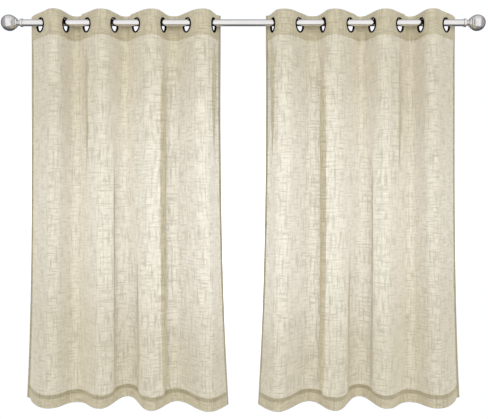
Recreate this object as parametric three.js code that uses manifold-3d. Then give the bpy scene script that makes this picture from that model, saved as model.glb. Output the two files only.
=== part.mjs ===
// A pair of sheer eyelet curtains hung on a round rod with ball finials.
// Millimetres, +Z up. X runs along the rod, -Y faces the room and +Y the wall.
// The origin is the middle of the rod's axis. The right panel mirrors the left one.

import * as THREE from "three";
import { mergeVertices } from "three/addons/utils/BufferGeometryUtils.js";
import Module from "manifold-3d";

const wasm = await Module();
wasm.setup();

// Driving sizes
const CLEARANCE = 0.3; // between pieces that touch

const PANEL_WIDTH = 1321; // one finished panel laid flat, 52 in
const PANEL_DROP = 1600; // top edge to hem, 63 in
const TOP_ABOVE_ROD = 42; // top edge above the rod's axis
const CLOTH_THICKNESS = 2;
const HEM_THICKNESS = 3; // where the cloth is turned up or turned in
const HEM_HEIGHT = 52;
const SIDE_HEM_WIDTH = 10;
const HEADING_HEIGHT = 102; // the cloth folded over behind the eyelets
const HEADING_THICKNESS = 3;

const EYELET_INNER_RADIUS = 25;
const EYELET_BARREL_RADIUS = 26.6; // outside of the tube that lines the hole
const EYELET_OUTER_RADIUS = 31.2;
const EYELET_CREST_RADIUS = 28; // where the rolled rim stands highest
const EYELET_CREST = 3.6; // rim above the middle of the cloth
const EYELET_LIP = 2.4; // rounded mouth, from the middle of the cloth
const OUTER_MARGIN = 95; // a panel's outer edge to its first eyelet, along the cloth
const INNER_MARGIN = 62; // its last eyelet to its inner edge
const EYELET_FLAT = 32; // the cloth stays flat this far from an eyelet's middle

const ROD_RADIUS = 14; // 28 mm across
const ROD_LENGTH = 1796;

const FINIAL_BALL_RADIUS = 33;
const FINIAL_BALL_OUT = 55.5; // ball centre beyond the end of the rod
const FINIAL_CUP_RADIUS = 24.5;
const FINIAL_COLLAR_RADIUS = 18; // step between the stem and the cup
const FINIAL_NECK_RADIUS = 9.5;
const FINIAL_BEAD_RADIUS = 12.5;
const FINIAL_RING_RADIUS = 17;

// Facets
const ROUND_SIDES = 16; // round an eyelet
const ROD_SIDES = 32;
const FINIAL_SIDES = 20;
const BALL_STEPS = 9;
const FOLD_STEPS = 7; // along the cloth, round the fold between two eyelets
const EDGE_STEPS = 3; // along the cloth, between an end eyelet and the side hem
const DROP_STEPS = 8; // down the panel, above its hem
const TRACE_STEPS = 80; // for adding up a curve of known direction

// The left panel's eyelets, from its outer edge inwards: where along the rod each one sits,
// and how many degrees its stretch of cloth is turned away from the plane of the window.
const EYELETS = [
  { rodX: -826, turn: 47 },
  { rodX: -725, turn: 78 },
  { rodX: -637, turn: 48 },
  { rodX: -527, turn: 70 },
  { rodX: -436, turn: 50 },
  { rodX: -327, turn: 74 },
  { rodX: -229, turn: 53 },
  { rodX: -121.5, turn: 74 },
];
const OUTER_EDGE_TURN = 63;
const INNER_EDGE_TURN = 25;

// The left panel's folds as they reach the hem, from its outer edge inwards. y is towards the wall,
// lift is how far the hem rides above level there, and flank is how upright the cloth stands on its
// way to the next fold: 0 for a soft wave, towards 1 for a steep side.
const HEM_FOLDS = [
  { fold: "outer edge", x: -902, y: 70, lift: 17, flank: 0 },
  { fold: "first front", x: -782, y: -50, lift: 0, flank: 0.3 },
  { fold: "first back", x: -687, y: 52, lift: -1, flank: 0.1 },
  { fold: "second front", x: -573, y: -53, lift: 0, flank: 0.15 },
  { fold: "second back", x: -481, y: 60, lift: 21, flank: 0.1 },
  { fold: "third front", x: -369, y: -55, lift: -8, flank: 0.15 },
  { fold: "third back", x: -274, y: 47, lift: 4, flank: 0 },
  { fold: "fourth front", x: -137, y: -58, lift: -11, flank: 0 },
  { fold: "inner edge", x: -62, y: 45, lift: -8, flank: 0 },
];

// Heights and places that follow from the driving sizes
const TOP_Z = TOP_ABOVE_ROD;
const HEADING_BOTTOM_Z = TOP_Z - HEADING_HEIGHT;
const PANEL_TOP_Z = HEADING_BOTTOM_Z - CLEARANCE;
const HEM_Z = TOP_Z - PANEL_DROP;
const EYELET_PITCH = (PANEL_WIDTH - OUTER_MARGIN - INNER_MARGIN) / (EYELETS.length - 1);
const FOLD_LENGTH = EYELET_PITCH - 2 * EYELET_FLAT; // cloth that curves between two eyelets

const eyeletAt = (index) => OUTER_MARGIN + index * EYELET_PITCH;
const eyeletTurn = (index) =>
  THREE.MathUtils.degToRad(EYELETS[index].turn) * (index % 2 === 0 ? -1 : 1);
const ease = (t) => (1 - Math.cos(Math.PI * t)) / 2;
const mix = THREE.MathUtils.lerp;

// The lowest that an eyelet's middle can hang, from the rod's axis. An eyelet that is square to the
// rod rests on it at the top, and one that is turned along the rod meets it earlier at its shoulders.
function hangHeight(turn) {
  const reach = ROD_RADIUS + CLEARANCE;
  let height = -EYELET_INNER_RADIUS;
  for (let degrees = 0; degrees < 90; degrees++) {
    const round = THREE.MathUtils.degToRad(degrees);
    const across = EYELET_INNER_RADIUS * Math.sin(round) * Math.sin(turn) - EYELET_LIP * Math.cos(turn);
    if (Math.abs(across) >= reach) break;
    const rodTop = Math.sqrt(reach * reach - across * across);
    height = Math.max(height, rodTop - EYELET_INNER_RADIUS * Math.cos(round));
  }
  return height;
}
const EYELET_Z = Math.max(...EYELETS.map(({ turn }) => hangHeight(THREE.MathUtils.degToRad(turn))));

// Follows a curve whose direction is known all along it, and returns how far it gets in x and y.
function trace(turnAt, length) {
  const step = length / TRACE_STEPS;
  let x = 0;
  let y = 0;
  for (let i = 0; i < TRACE_STEPS; i++) {
    const turn = turnAt((i + 0.5) * step);
    x += Math.cos(turn) * step;
    y += Math.sin(turn) * step;
  }
  return { x, y };
}

// The direction of the heading's cloth along one fold, from an eyelet to the next one.
// fullness swells both sides of the fold alike, and skew leans it to one side.
function foldTurn(index, fullness, skew) {
  const from = eyeletTurn(index);
  const to = eyeletTurn(index + 1);
  const outwards = Math.sign(from);
  return (s) => {
    const t = THREE.MathUtils.clamp((s - EYELET_FLAT) / FOLD_LENGTH, 0, 1);
    const swell = fullness * outwards * Math.sin(2 * Math.PI * t);
    return mix(from, to, ease(t)) + swell + skew * Math.sin(Math.PI * t);
  };
}

// Finds the fullness and skew with which a fold's fixed length of cloth ends at the next eyelet.
function fitFold(index) {
  const span = EYELETS[index + 1].rodX - EYELETS[index].rodX;
  const rounds = 12;
  const nudge = 1e-4;
  const miss = (fullness, skew) => {
    const end = trace(foldTurn(index, fullness, skew), EYELET_PITCH);
    return { x: end.x - span, y: end.y };
  };
  let fullness = 0;
  let skew = 0;
  for (let i = 0; i < rounds; i++) {
    const here = miss(fullness, skew);
    const fuller = miss(fullness + nudge, skew);
    const leaning = miss(fullness, skew + nudge);
    const slopes = new THREE.Matrix3().set(
      (fuller.x - here.x) / nudge, (leaning.x - here.x) / nudge, 0,
      (fuller.y - here.y) / nudge, (leaning.y - here.y) / nudge, 0,
      0, 0, 1,
    );
    const change = new THREE.Vector3(here.x, here.y, 0).applyMatrix3(slopes.invert());
    fullness -= change.x;
    skew -= change.y;
  }
  return foldTurn(index, fullness, skew);
}
const FOLD_TURNS = EYELETS.slice(1).map((_, index) => fitFold(index));

// The direction of the cloth from an end eyelet out to the panel's edge.
function edgeTurn(index, margin, edgeDegrees) {
  const from = eyeletTurn(index);
  const to = Math.sign(from) * THREE.MathUtils.degToRad(edgeDegrees);
  const curved = margin - EYELET_FLAT;
  return (s) => mix(from, to, ease(THREE.MathUtils.clamp((s - EYELET_FLAT) / curved, 0, 1)));
}
const OUTER_TURN = edgeTurn(0, OUTER_MARGIN, OUTER_EDGE_TURN);
const INNER_TURN = edgeTurn(EYELETS.length - 1, INNER_MARGIN, INNER_EDGE_TURN);

// Where the heading's cloth is, seen from above, at a distance u along it from the outer edge.
function headingPlan(u) {
  const last = EYELETS.length - 1;
  const index = THREE.MathUtils.clamp(Math.floor((u - OUTER_MARGIN) / EYELET_PITCH), -1, last);
  if (index < 0) {
    const away = trace(OUTER_TURN, OUTER_MARGIN - u);
    return { x: EYELETS[0].rodX - away.x, y: -away.y };
  }
  const turnAt = index === last ? INNER_TURN : FOLD_TURNS[index];
  const along = trace(turnAt, u - eyeletAt(index));
  return { x: EYELETS[index].rodX + along.x, y: along.y };
}

// Where the hem is, seen from above, and how far it rides above level.
const HEM_FOLDS_AT = HEM_FOLDS.map((_, index) => {
  if (index === 0) return 0;
  if (index === HEM_FOLDS.length - 1) return PANEL_WIDTH;
  return eyeletAt(index - 0.5);
});

// A panel's two free edges run straight off the last fold, and every other fold turns round smoothly.
function easeFold(from, t) {
  if (from === 0) return Math.sin((Math.PI * t) / 2);
  if (from === HEM_FOLDS.length - 2) return 1 - Math.cos((Math.PI * t) / 2);
  return ease(t);
}

function hemPlan(u) {
  const next = HEM_FOLDS_AT.findIndex((at, index) => index > 0 && u <= at + 1e-6);
  const from = next - 1;
  const a = HEM_FOLDS[from];
  const b = HEM_FOLDS[next];
  const t = (u - HEM_FOLDS_AT[from]) / (HEM_FOLDS_AT[next] - HEM_FOLDS_AT[from]);
  const across = t + (a.flank * Math.sin(2 * Math.PI * t)) / (2 * Math.PI);
  const turned = easeFold(from, t);
  return { x: mix(a.x, b.x, across), y: mix(a.y, b.y, turned), lift: mix(a.lift, b.lift, turned) };
}

// The middle of the hanging cloth, u along it and down from 0 at the panel's top to 1 at its hem.
// The folds keep the heading's shape at first and open into the hem's shape lower down.
function clothPoint(u, down) {
  const top = headingPlan(u);
  const hem = hemPlan(u);
  const opened = down * down;
  const z = mix(PANEL_TOP_Z, HEM_Z, down) + hem.lift * opened;
  return new THREE.Vector3(mix(top.x, hem.x, opened), mix(top.y, hem.y, opened), z);
}

function headingPoint(u, z) {
  const plan = headingPlan(u);
  return new THREE.Vector3(plan.x, plan.y, z);
}

// Distances along the cloth where its facets meet, shared by the heading and the panel below it.
function clothColumns() {
  const hemEdge = 1; // the step from double cloth to single
  const at = [0, SIDE_HEM_WIDTH, SIDE_HEM_WIDTH + hemEdge];
  const spread = (from, to, steps) => {
    for (let i = 1; i <= steps; i++) at.push(mix(from, to, i / steps));
  };
  spread(at.at(-1), eyeletAt(0) - EYELET_FLAT, EDGE_STEPS);
  EYELETS.forEach((_, index) => {
    const flatEnd = eyeletAt(index) + EYELET_FLAT;
    at.push(flatEnd);
    if (index < EYELETS.length - 1) spread(flatEnd, flatEnd + FOLD_LENGTH, FOLD_STEPS);
  });
  spread(at.at(-1), PANEL_WIDTH - SIDE_HEM_WIDTH - hemEdge, EDGE_STEPS);
  at.push(PANEL_WIDTH - SIDE_HEM_WIDTH, PANEL_WIDTH);
  return at;
}
const COLUMNS = clothColumns();

// A closed sheet round a grid of middle points, thick as thicknessAt says. The grid runs along the
// cloth and then down it, and the sheet's room side lies to the right of the way along.
function sheetGeometry(columns, rows, pointAt, thicknessAt) {
  const positions = [];
  const triangles = [];
  const wide = columns.length;
  const tall = rows.length;
  const reach = 0.5; // either side of a column, for the cloth's direction there
  for (const side of [1, -1]) {
    for (const row of rows) {
      for (const u of columns) {
        const before = pointAt(Math.max(u - reach, 0), row);
        const after = pointAt(Math.min(u + reach, PANEL_WIDTH), row);
        const along = after.sub(before).setZ(0).normalize();
        const roomwards = new THREE.Vector3(along.y, -along.x, 0);
        const offset = (side * thicknessAt(u, row)) / 2;
        positions.push(...pointAt(u, row).addScaledVector(roomwards, offset));
      }
    }
  }
  const corner = (column, row, back) => (back ? wide * tall : 0) + row * wide + column;
  const quad = (a, b, c, d) => triangles.push(a, b, c, a, c, d);
  for (let row = 0; row + 1 < tall; row++) {
    for (let column = 0; column + 1 < wide; column++) {
      const ring = [[column, row + 1], [column + 1, row + 1], [column + 1, row], [column, row]];
      quad(...ring.map(([c, r]) => corner(c, r, false)));
      quad(...ring.reverse().map(([c, r]) => corner(c, r, true)));
    }
  }
  const rim = [];
  for (let column = 0; column < wide; column++) rim.push([column, 0]);
  for (let row = 1; row < tall; row++) rim.push([wide - 1, row]);
  for (let column = wide - 2; column >= 0; column--) rim.push([column, tall - 1]);
  for (let row = tall - 2; row > 0; row--) rim.push([0, row]);
  rim.forEach(([c, r], index) => {
    const [nextC, nextR] = rim[(index + 1) % rim.length];
    quad(corner(c, r, false), corner(nextC, nextR, false), corner(nextC, nextR, true), corner(c, r, true));
  });
  const geometry = new THREE.BufferGeometry();
  geometry.setAttribute("position", new THREE.Float32BufferAttribute(positions, 3));
  geometry.setIndex(triangles);
  return geometry;
}

function solidOf(geometry) {
  const bare = geometry.clone();
  bare.deleteAttribute("normal");
  bare.deleteAttribute("uv");
  const merged = mergeVertices(bare, 1e-3);
  const vertProperties = new Float32Array(merged.attributes.position.array);
  const triVerts = new Uint32Array(merged.index.array);
  return new wasm.Manifold(new wasm.Mesh({ numProp: 3, vertProperties, triVerts }));
}

function geometryOf(solid) {
  const mesh = solid.getMesh();
  const geometry = new THREE.BufferGeometry();
  geometry.setAttribute("position", new THREE.Float32BufferAttribute(mesh.vertProperties, 3));
  geometry.setIndex(new THREE.BufferAttribute(mesh.triVerts, 1));
  geometry.computeVertexNormals();
  return geometry;
}

// The same shape seen in a mirror at x = 0, with its faces still pointing out.
function mirrored(geometry) {
  const copy = geometry.clone().scale(-1, 1, 1);
  const index = copy.index.array;
  for (let i = 0; i < index.length; i += 3) [index[i + 1], index[i + 2]] = [index[i + 2], index[i + 1]];
  return copy;
}

// Places a shape made round the Y axis at an eyelet, with that axis square to the cloth there.
function atEyelet(geometry, index) {
  const placed = geometry.clone().rotateY(Math.PI / ROUND_SIDES);
  return placed.rotateZ(eyeletTurn(index)).translate(EYELETS[index].rodX, 0, EYELET_Z);
}

const ROUND_WIDENING = 1 / Math.cos(Math.PI / ROUND_SIDES); // keeps a hole's flats at its radius

function headingGeometry() {
  const strip = sheetGeometry(COLUMNS, [TOP_Z, HEADING_BOTTOM_Z], headingPoint, () => HEADING_THICKNESS);
  const holeRadius = (EYELET_BARREL_RADIUS + CLEARANCE) * ROUND_WIDENING;
  const punch = new THREE.CylinderGeometry(holeRadius, holeRadius, 4 * HEADING_THICKNESS, ROUND_SIDES);
  let heading = solidOf(strip);
  EYELETS.forEach((_, index) => {
    heading = heading.subtract(solidOf(atEyelet(punch, index)));
  });
  return geometryOf(heading);
}

function panelGeometry() {
  const hemStart = 1 - HEM_HEIGHT / (PANEL_TOP_Z - HEM_Z);
  const hemEdge = 0.001; // share of the drop over which single cloth steps to the turned-up hem
  const rows = [];
  for (let i = 0; i <= DROP_STEPS; i++) rows.push((i / DROP_STEPS) * (hemStart - hemEdge));
  rows.push(hemStart, 1);
  const thicknessAt = (u, down) => {
    const fromSide = Math.min(u, PANEL_WIDTH - u);
    return down >= hemStart || fromSide <= SIDE_HEM_WIDTH ? HEM_THICKNESS : CLOTH_THICKNESS;
  };
  return sheetGeometry(COLUMNS, rows, clothPoint, thicknessAt);
}

// A rolled metal ring with a rim on each side of the heading and a tube through its hole.
function eyeletGeometry() {
  const under = HEADING_THICKNESS / 2 + CLEARANCE;
  const mouth = EYELET_INNER_RADIUS * ROUND_WIDENING;
  const half = [
    [mouth, EYELET_LIP],
    [EYELET_CREST_RADIUS, EYELET_CREST],
    [EYELET_OUTER_RADIUS, under],
    [EYELET_BARREL_RADIUS, under],
  ];
  const section = [
    ...half.map(([radius, up]) => new THREE.Vector2(radius, up)),
    ...half.toReversed().map(([radius, up]) => new THREE.Vector2(radius, -up)),
  ];
  section.push(section[0]);
  return new THREE.LatheGeometry(section.toReversed(), ROUND_SIDES);
}

// Turned finial: a ring against the rod, a necked stem with a bead, a stepped cup, and a ball.
function finialGeometry() {
  const ringEnd = 9;
  const beadOut = 15.5;
  const beadHalf = 2.5;
  const collarStart = 23;
  const cupStart = 30;
  const cupEnd = 38.5;
  const softened = 1; // the rounding of each edge
  const seat = FINIAL_CUP_RADIUS - softened; // where the ball meets its cup
  const profile = [
    [0, 0],
    [FINIAL_RING_RADIUS - softened, 0],
    [FINIAL_RING_RADIUS, softened],
    [FINIAL_RING_RADIUS, ringEnd - softened],
    [FINIAL_NECK_RADIUS, ringEnd + softened],
    [FINIAL_NECK_RADIUS, beadOut - beadHalf],
    [FINIAL_BEAD_RADIUS, beadOut],
    [FINIAL_NECK_RADIUS, beadOut + beadHalf],
    [FINIAL_NECK_RADIUS, collarStart - softened],
    [FINIAL_COLLAR_RADIUS - softened, collarStart],
    [FINIAL_COLLAR_RADIUS, collarStart + softened],
    [FINIAL_COLLAR_RADIUS, cupStart - softened],
    [FINIAL_CUP_RADIUS - 2 * softened, cupStart],
    [FINIAL_CUP_RADIUS, cupStart + 2 * softened],
    [FINIAL_CUP_RADIUS, cupEnd - 2 * softened],
  ].map(([radius, out]) => new THREE.Vector2(radius, out));
  const meets = Math.asin(seat / FINIAL_BALL_RADIUS);
  for (let i = 0; i < BALL_STEPS; i++) {
    const angle = mix(Math.PI - meets, 0, i / BALL_STEPS);
    const radius = FINIAL_BALL_RADIUS * Math.sin(angle);
    profile.push(new THREE.Vector2(radius, FINIAL_BALL_OUT + FINIAL_BALL_RADIUS * Math.cos(angle)));
  }
  profile.push(new THREE.Vector2(0, FINIAL_BALL_OUT + FINIAL_BALL_RADIUS));
  const outwards = new THREE.LatheGeometry(profile, FINIAL_SIDES).rotateZ(Math.PI / 2);
  return outwards.translate(-ROD_LENGTH / 2 - CLEARANCE, 0, 0);
}

const CLOTH = new THREE.MeshStandardMaterial({
  color: 0xd9d2bf,
  roughness: 0.9,
  metalness: 0,
  transparent: true,
  opacity: 0.6,
  side: THREE.DoubleSide,
});
const HEADING_CLOTH = new THREE.MeshStandardMaterial({ color: 0xc8bea4, roughness: 0.9, metalness: 0 });
const BLACK_METAL = new THREE.MeshStandardMaterial({ color: 0x14120f, roughness: 0.35, metalness: 0.7 });
const SATIN_METAL = new THREE.MeshStandardMaterial({ color: 0xdad6d5, roughness: 0.3, metalness: 0.85 });

const curtains = new THREE.Group();

function addPiece(parent, name, geometry, material) {
  const mesh = new THREE.Mesh(geometry, material.clone());
  mesh.name = name;
  parent.add(mesh);
}

function addPanel(side, flip) {
  const panel = new THREE.Group();
  addPiece(panel, `${side}_panel`, flip(panelGeometry()), CLOTH);
  addPiece(panel, `${side}_heading`, flip(headingGeometry()), HEADING_CLOTH);
  const ring = eyeletGeometry();
  EYELETS.forEach((_, index) => {
    addPiece(panel, `${side}_eyelet_${index + 1}`, flip(atEyelet(ring, index)), BLACK_METAL);
  });
  curtains.add(panel);
}
addPanel("left", (geometry) => geometry);
addPanel("right", mirrored);

const rod = new THREE.CylinderGeometry(ROD_RADIUS, ROD_RADIUS, ROD_LENGTH, ROD_SIDES);
addPiece(curtains, "rod", rod.rotateZ(Math.PI / 2), SATIN_METAL);
addPiece(curtains, "left_finial", finialGeometry(), SATIN_METAL);
addPiece(curtains, "right_finial", mirrored(finialGeometry()), SATIN_METAL);

export default curtains;
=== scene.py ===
"""Looks of a pair of sheer eyelet curtains on a rod with ball finials, laid out as a Blender add-on.

Metres, +Z up. X runs along the rod, -Y is the front and +Y the back, and the origin is the middle of
the rod's axis. The left panel is worked out, and the right one mirrors it at x = 0.
"""

import math
from collections import namedtuple

import bpy
import numpy as np
from bpy.props import FloatProperty, FloatVectorProperty, IntProperty, PointerProperty
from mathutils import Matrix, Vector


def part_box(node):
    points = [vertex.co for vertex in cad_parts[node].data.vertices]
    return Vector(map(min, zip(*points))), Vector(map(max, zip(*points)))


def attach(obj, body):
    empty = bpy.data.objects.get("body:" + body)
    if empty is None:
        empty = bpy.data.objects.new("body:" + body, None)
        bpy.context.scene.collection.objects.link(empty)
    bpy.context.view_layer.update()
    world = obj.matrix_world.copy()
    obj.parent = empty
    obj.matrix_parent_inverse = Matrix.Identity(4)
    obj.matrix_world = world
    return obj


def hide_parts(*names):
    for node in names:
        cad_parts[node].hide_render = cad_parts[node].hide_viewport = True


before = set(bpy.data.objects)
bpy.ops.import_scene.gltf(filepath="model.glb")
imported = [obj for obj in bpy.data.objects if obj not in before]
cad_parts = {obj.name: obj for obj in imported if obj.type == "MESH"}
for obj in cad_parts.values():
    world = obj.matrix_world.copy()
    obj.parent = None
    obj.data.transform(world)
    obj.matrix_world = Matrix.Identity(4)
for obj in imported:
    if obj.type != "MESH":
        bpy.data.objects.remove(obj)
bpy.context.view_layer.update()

bl_info = {
    "name": "Sheer eyelet curtains",
    "version": (1, 0, 0),
    "blender": (4, 5, 0),
    "location": "View3D > Sidebar > Curtains",
    "description": "Builds a pair of sheer eyelet curtains with their rod, finials and sewing",
    "category": "Object",
}

SIDES = ("left", "right")
BODY = "root"
MIRROR = (-1, 1, 1)  # at x = 0

# The left panel's eyelets, from its outer edge inwards: how many degrees the cloth there is turned
# away from the rod's own direction. Their places along the rod come from the frame.
EYELET_TURNS = (47, 78, 48, 70, 50, 74, 53, 74)
EYELET_COUNT = len(EYELET_TURNS)
OUTER_EDGE_TURN = 63  # degrees, at a panel's free edges
INNER_EDGE_TURN = 25
EYELET_FLAT = 0.032  # the cloth stays flat this far from an eyelet's middle

# The left panel's folds as they reach the hem, from its outer edge inwards. y is towards the back,
# lift is how far the hem rides above level, and flank is how upright the cloth stands on its way to
# the next fold: 0 for a soft wave, towards 1 for a steep side.
HemFold = namedtuple("HemFold", "x y lift flank")
HEM_FOLDS = (
    HemFold(-0.902, 0.070, 0.017, 0.0),  # outer edge
    HemFold(-0.782, -0.050, 0.000, 0.3),
    HemFold(-0.687, 0.052, -0.001, 0.1),
    HemFold(-0.573, -0.053, 0.000, 0.15),
    HemFold(-0.481, 0.060, 0.021, 0.1),
    HemFold(-0.369, -0.055, -0.008, 0.15),
    HemFold(-0.274, 0.047, 0.004, 0.0),
    HemFold(-0.137, -0.058, -0.011, 0.0),
    HemFold(-0.062, 0.045, -0.008, 0.0),  # inner edge
)

# Folds whose side doubles back on itself, so that it shows as a dark upright band: the eyelet that
# the side hangs from, counted from 0, where the band starts and ends below the top edge, the
# stretches over which it closes and opens out, the half width of cloth in it, and how far each half
# overlaps.
Tuck = namedtuple("Tuck", "eyelet top bottom closes opens spread reach")
TUCKS = (
    Tuck(2, 0.09, 0.85, 0.12, 0.50, 0.018, 0.0130),
    Tuck(3, 0.30, 1.60, 0.50, 0.10, 0.028, 0.0142),
    Tuck(4, 0.70, 1.60, 0.50, 0.10, 0.028, 0.0150),
    Tuck(5, 0.07, 1.60, 0.32, 0.10, 0.028, 0.0220),
    Tuck(7, 0.08, 0.75, 0.12, 0.40, 0.018, 0.0120),
)

# A panel's folds open out by this power of the way down. Its sides do so later, by a higher power,
# and its outer side hem rolls round to the front.
FOLD_OPENING = 2
EDGE_REACH = 0.150  # along the cloth from a side, as far as that goes
OUTER_EDGE_DELAY = 2.2
INNER_EDGE_DELAY = 0.8
ROLL_TOP = 0.050  # below the top edge, where the roll starts
ROLL_WIDTH = 0.020
ROLL_CURVE = 1.5  # power by which it rolls towards the edge
ROLL_OUT = 0.007
ROLL_FRONT = 0.008
ROLL_PULL = 0.0095  # how far the roll draws the cloth next to it inwards
ROLL_PULL_WIDTH = 0.060

# Long soft creases: place along the cloth, drift to the inner side for each metre down, where they
# start and end below the top edge, half width, and height towards the front (below zero: a trough).
Crease = namedtuple("Crease", "along drift top bottom width height")
CREASES = (
    Crease(0.034, 0.000, 0.12, 1.55, 0.009, -0.0022),
    Crease(0.118, 0.012, 0.15, 0.95, 0.020, 0.0030),
    Crease(0.196, -0.010, 0.40, 1.52, 0.016, -0.0032),
    Crease(0.232, 0.008, 0.20, 0.80, 0.013, 0.0024),
    Crease(0.318, 0.015, 0.55, 1.54, 0.018, -0.0026),
    Crease(0.404, -0.008, 0.30, 1.20, 0.015, -0.0035),
    Crease(0.452, 0.006, 0.16, 0.70, 0.012, 0.0022),
    Crease(0.505, -0.014, 0.60, 1.56, 0.019, 0.0028),
    Crease(0.548, 0.004, 0.14, 1.10, 0.011, -0.0026),
    Crease(0.633, 0.010, 0.75, 1.54, 0.015, -0.0024),
    Crease(0.690, -0.006, 0.18, 0.90, 0.013, 0.0026),
    Crease(0.786, 0.009, 0.35, 1.50, 0.017, -0.0028),
    Crease(0.842, -0.012, 0.16, 0.75, 0.014, 0.0022),
    Crease(0.958, 0.007, 0.50, 1.54, 0.013, -0.0030),
    Crease(1.016, -0.009, 0.15, 0.85, 0.016, 0.0028),
    Crease(1.094, 0.013, 0.45, 1.53, 0.018, -0.0034),
    Crease(1.148, -0.005, 0.18, 1.00, 0.013, 0.0024),
    Crease(1.214, 0.010, 0.70, 1.55, 0.015, 0.0030),
    Crease(1.288, 0.000, 0.12, 1.55, 0.009, -0.0022),
)

# Short puckers that the sewing draws into the hem and into the cloth under the heading:
# place along the cloth, half width and height towards the front.
Pucker = namedtuple("Pucker", "along width height")
HEM_PUCKERS = [Pucker(*row) for row in (
    (0.058, 0.007, -0.0010), (0.112, 0.009, 0.0012), (0.171, 0.006, -0.0008), (0.301, 0.006, -0.0015),
    (0.321, 0.007, 0.0013), (0.339, 0.005, -0.0012), (0.357, 0.008, 0.0010), (0.474, 0.006, 0.0012),
    (0.501, 0.007, -0.0014), (0.519, 0.005, 0.0009), (0.645, 0.008, -0.0012), (0.672, 0.006, 0.0013),
    (0.813, 0.006, -0.0010), (0.840, 0.008, 0.0012), (0.956, 0.006, 0.0012), (0.974, 0.005, -0.0017),
    (0.992, 0.006, 0.0014), (1.011, 0.005, -0.0015), (1.030, 0.007, 0.0011), (1.133, 0.006, -0.0010),
    (1.160, 0.007, 0.0014), (1.182, 0.005, -0.0012), (1.272, 0.006, 0.0010),
)]
HEADING_PUCKERS = [Pucker(*row) for row in (
    (0.041, 0.006, -0.0008), (0.152, 0.008, 0.0011), (0.176, 0.006, -0.0009), (0.312, 0.006, -0.0012),
    (0.337, 0.008, 0.0010), (0.484, 0.007, 0.0010), (0.508, 0.006, -0.0011), (0.652, 0.007, -0.0012),
    (0.676, 0.006, 0.0009), (0.812, 0.006, -0.0009), (0.838, 0.008, 0.0012), (0.979, 0.007, -0.0011),
    (1.003, 0.006, 0.0010), (1.147, 0.008, 0.0011), (1.169, 0.006, -0.0010), (1.283, 0.006, 0.0008),
)]
PUCKER_ABOVE_HEM = 0.090  # from the hem's edge up to where a pucker dies out
HEADING_PUCKER_SPAN = (0.062, 0.190)  # below the top edge
CREASE_FADE = 0.35  # share of a crease's length over which it dies out at each end
PUCKER_FADE = 0.45

# How many layers behind the face the turned cloth lies: raw edges, the heading and hem, side hems
INNER_LAYER = 2.6
OUTER_LAYER = 7.2
SIDE_LAYER = 2

SEAM_END = 0.004  # a row of stitches stops this far from the sides
SEAM_STEP = 0.002
STITCH_RANGE = (0.88, 1.08)  # shortest and longest, to the set length

# How the surround's light changes with direction: from a low to a high value of it, the share at each
Change = namedtuple("Change", "low high start end")
SOFT_UP = Change(-0.8, 0.4, 0.85, 1.0)
MIRRORED_BELOW = Change(-0.82, -0.45, 0.25, 1.0)
MIRRORED_BACK = Change(-0.1, 0.6, 1.0, 0.35)
MIRRORED_UP = Change(0.55, 0.90, 1.0, 0.75)
MIRRORED_ACROSS = Change(0.16, 0.60, 1.0, 0.40)
MIRRORED_SLANT = -0.45  # how the dark part below tilts to the back
GLOW_END = 0.145
GLOW_FLATNESS = 3.0  # how much sooner the glow ends upwards than sideways
FLOOR_GRAIN = 6.0
FLOOR_SHADE = 0.93
FLOOR_FADE = 0.45  # of the floor's radius, where it starts to fade

# How the weave is mixed from wide and fine streaks
STREAK_DETAIL = 1.5
WARP_SCALE = 0.7  # the wide streaks of the warp, to those of the weft
WARP_SHARE = 1.2
FINE_ACROSS = 2.0  # the fine streaks, to the wide ones
FINE_ALONG = 1.9
FINE_SLUBS = 0.45
SLUB_RANGE = (0.45, 0.72)
SLUB_HEIGHT = 1.5  # to a plain thread's
COVER_RANGE = (0.20, 0.97)
WEAVE_BUMP = (0.35, 0.0004)  # strength and depth
TWIST_BUMP = (0.3, 0.0002)
TWIST_SCALE = 900.0
TWIST_SHADE = 0.72
# Softness and margin of the mask for the painted shade where turned-in layers stack
LAYER_MASK_SOFT = 0.0008
LAYER_MASK_MARGIN = 0.002  # past a folded edge, whose rounding runs a little beyond it

# How metal is finished: the tone of its marks, their lines along X, Y and Z, their clouds, its
# smoothest and dullest roughness, how bare it is, the strength of its marks, and its gloss
Finish = namedtuple("Finish", "name marks lines cloud smooth dull metallic strength gloss")
LACQUER = Finish("black_lacquer", 1.8, (180, 180, 180), 70.0, 0.50, 0.65, 0.0, 0.05, 0.0)
SATIN = Finish("satin_rod", 0.86, (6, 700, 700), 9.0, 0.12, 0.24, 1.0, 0.06, 0.5)
TURNED = Finish("turned_finial", 0.82, (900, 25, 25), 60.0, 0.14, 0.28, 1.0, 0.08, 0.5)
MARK_RANGE = (0.3, 0.7)
MARK_ROUGHNESS = 0.6
MARK_DEPTH = 0.0002

# Fineness of the meshes
TRACE_STEPS = 200  # along one fold, for adding up a curve of known direction
FIT_ROUNDS = 12
FACE_COLUMNS = 396
SIDE_HEM_STEPS = 7
TURN_STEPS = 4
HEADING_ROWS = 26
HEADING_ROWS_END = 1.1  # of the heading's depth
BODY_ROWS = 124
HEM_ROWS = 14
HEM_ROWS_ABOVE = 0.02  # how far above the hem they start
HEM_BACK_ROWS = 10
ROUND_STEPS = 3  # stations round a folded edge
EYELET_ROUND = 64
EYELET_SECTION = 24
ROD_ROUND = 96
FINIAL_ROUND = 72
FLOOR_ROUND = 64
FLOOR_RINGS = 8


def middle_of(node):
    """The middle of a node's box."""
    low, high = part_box(node)
    return (low + high) / 2


def size_of(node):
    """The size of a node's box."""
    low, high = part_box(node)
    return high - low


# Properties

def amount(name, description, default, **settings):
    """A number that a user may change."""
    return FloatProperty(name=name, description=description, default=default, **settings)


def length(name, description, default):
    """A size in metres."""
    return amount(name, description, default, unit="LENGTH", precision=4)


def share(name, description, default):
    """A share from 0 to 1."""
    return amount(name, description, default, min=0, max=1, subtype="FACTOR")


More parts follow.
